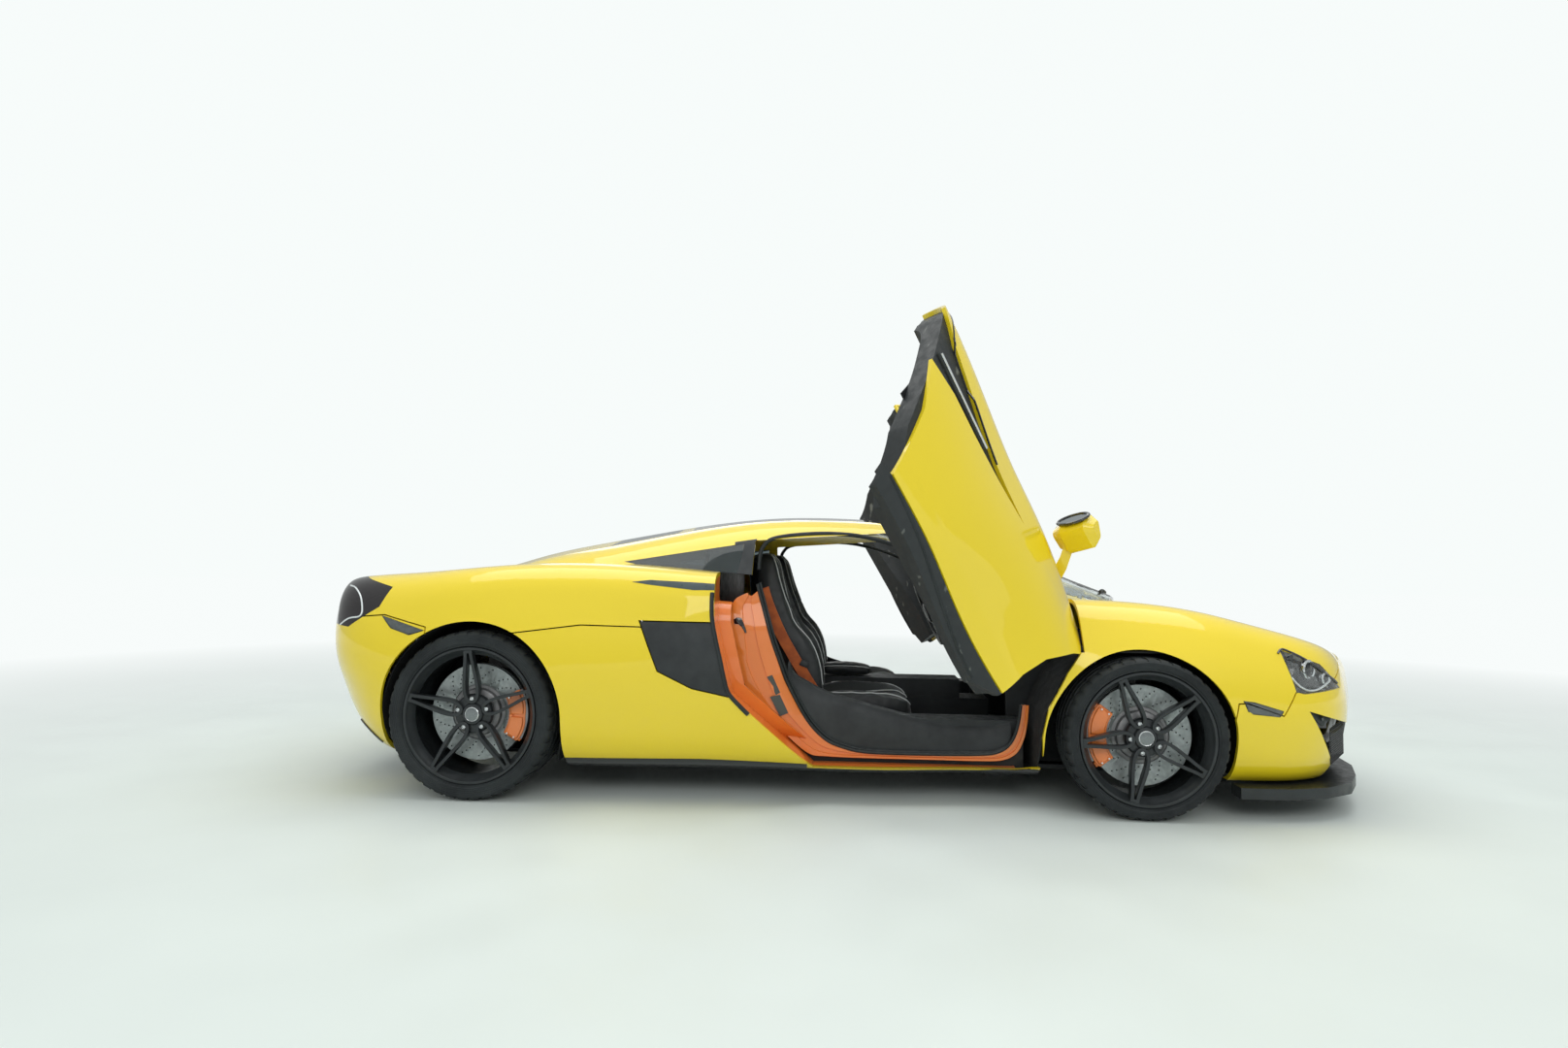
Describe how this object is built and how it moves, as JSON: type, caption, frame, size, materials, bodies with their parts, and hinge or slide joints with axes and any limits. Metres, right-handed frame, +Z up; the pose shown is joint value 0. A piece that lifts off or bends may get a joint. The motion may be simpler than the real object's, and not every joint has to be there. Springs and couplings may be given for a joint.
{
  "type": "two-seat sports coupe",
  "caption": "Low mid-engined two-seat coupe with upswung dihedral doors, steering front wheels, lifting front lid and free-rolling wheels.",
  "frame": {"origin": "on the ground below the middle of the car's length and width", "axes": "+X towards the nose, +Y towards the car's left side, +Z up"},
  "size_m": [4.53, 2.8498, 1.9662],
  "materials": {
    "paint_yellow": "gloss",
    "paint_orange": "gloss",
    "dark_plastic": "matte",
    "gloss_black": "gloss",
    "cast_metal": "satin",
    "wheel_black": "satin",
    "tyre": "matte",
    "glass": "gloss",
    "seat_hide": "matte"
  },
  "bodies": {
    "body": {"tub": "dark_plastic", "underbody": "dark_plastic", "arch_liners": "dark_plastic", "front_frame": "cast_metal", "rear_frame": "cast_metal", "engine_block": "cast_metal", "luggage_well": "dark_plastic", "splitter": "gloss_black", "front_bumper": "paint_yellow", "front_fenders": "paint_yellow", "headlamps": "glass", "windscreen": "glass", "roof": "gloss_black", "roof_frame": "paint_yellow", "rear_window": "glass", "quarter_windows": "glass", "rear_fenders": "paint_yellow", "side_panels": "paint_yellow", "side_intakes": "dark_plastic", "rear_deck": "paint_yellow", "rear_bumper": "paint_yellow", "tail_lamps": "glass", "tail_panel": "gloss_black", "front_grille": "gloss_black", "plate_holder": "dark_plastic", "door_jambs": "paint_orange", "front_suspension": "cast_metal", "rear_suspension": "cast_metal", "seats": "seat_hide", "dashboard": "dark_plastic", "console": "dark_plastic", "steering_wheel": "gloss_black"},
    "bonnet": {"bonnet": "paint_yellow"},
    "door_right": {"door_right_skin": "paint_yellow", "door_right_frame": "dark_plastic", "door_right_glass": "glass", "door_right_mirror": "dark_plastic"},
    "knuckle_right": {"knuckle_right": "cast_metal"},
    "door_left": {"door_left_skin": "paint_yellow", "door_left_frame": "dark_plastic", "door_left_glass": "glass", "door_left_mirror": "dark_plastic"},
    "knuckle_left": {"knuckle_left": "cast_metal"},
    "wheel_front_right": {"wheel_front_right": "wheel_black", "tyre_front_right": "tyre"},
    "wheel_front_left": {"wheel_front_left": "wheel_black", "tyre_front_left": "tyre"},
    "wheel_rear_right": {"wheel_rear_right": "wheel_black", "tyre_rear_right": "tyre"},
    "wheel_rear_left": {"wheel_rear_left": "wheel_black", "tyre_rear_left": "tyre"}
  },
  "joints": [
    {"name": "door_right_swing", "type": "hinge", "parent": "body", "child": "door_right", "pos_m": [0.828, -0.76, 0.718], "axis": [0.4239, -0.7598, -0.4929], "range_deg": [0, 69]},
    {"name": "door_left_swing", "type": "hinge", "parent": "body", "child": "door_left", "pos_m": [0.828, 0.76, 0.718], "axis": [-0.4239, -0.7598, 0.4929], "range_deg": [0, 69]},
    {"name": "bonnet_lift", "type": "hinge", "parent": "body", "child": "bonnet", "pos_m": [1.05, 0, 0.8], "axis": [0, -1, 0], "range_deg": [0, 45]},
    {"name": "steer_right", "type": "hinge", "parent": "body", "child": "knuckle_right", "pos_m": [1.165, -0.7315, 0.31], "axis": [0, 0, 1], "range_deg": [-30, 30]},
    {"name": "steer_left", "type": "hinge", "parent": "body", "child": "knuckle_left", "pos_m": [1.165, 0.7315, 0.31], "axis": [0, 0, 1], "range_deg": [-30, 30]},
    {"name": "spin_front_right", "type": "hinge", "parent": "knuckle_right", "child": "wheel_front_right", "pos_m": [1.165, -0.8365, 0.31], "axis": [0, 1, 0], "continuous": true},
    {"name": "spin_front_left", "type": "hinge", "parent": "knuckle_left", "child": "wheel_front_left", "pos_m": [1.165, 0.8365, 0.31], "axis": [0, 1, 0], "continuous": true},
    {"name": "spin_rear_right", "type": "hinge", "parent": "body", "child": "wheel_rear_right", "pos_m": [-1.505, -0.809, 0.34], "axis": [0, 1, 0], "continuous": true},
    {"name": "spin_rear_left", "type": "hinge", "parent": "body", "child": "wheel_rear_left", "pos_m": [-1.505, 0.809, 0.34], "axis": [0, 1, 0], "continuous": true}
  ],
  "couplings": [
    {"joint": "steer_left", "follows": "steer_right", "ratio": 1}
  ]
}
